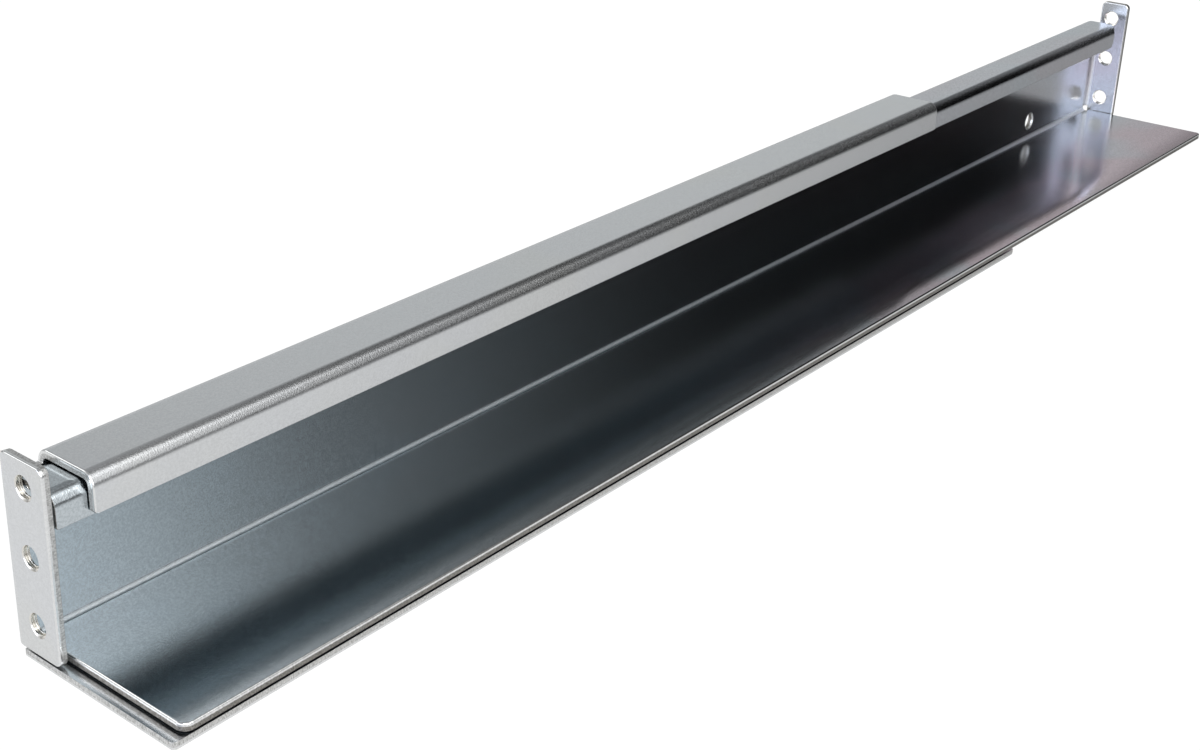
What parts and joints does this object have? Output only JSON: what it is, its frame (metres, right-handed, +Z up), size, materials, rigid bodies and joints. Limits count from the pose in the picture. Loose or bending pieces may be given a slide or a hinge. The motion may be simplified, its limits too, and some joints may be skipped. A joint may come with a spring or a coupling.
{
  "type": "telescopic rack support rail",
  "caption": "Left-hand L-shaped telescopic support rail for a 19 inch rack: bent-steel front rail with hook, sliding rear rail with shelf, threaded flange at each end.",
  "frame": {"origin": "centre of the middle front threaded hole on the front mounting face", "axes": "+X from the web to the free edge of the shelf, +Y from the front flange to the rear flange, +Z up"},
  "size_m": [0.0508, 0.508, 0.048],
  "materials": {
    "zinc_front_rail": "clear blue zinc plate, satin",
    "zinc_rear_rail": "clear blue zinc plate, semi-bright"
  },
  "bodies": {
    "front_rail": {"front_rail": "zinc_front_rail"},
    "rear_rail": {"rear_rail": "zinc_rear_rail"}
  },
  "joints": [
    {"name": "depth_slide", "type": "slide", "parent": "front_rail", "child": "rear_rail", "axis": [0, 1, 0], "range_m": [0, 0.254]}
  ]
}
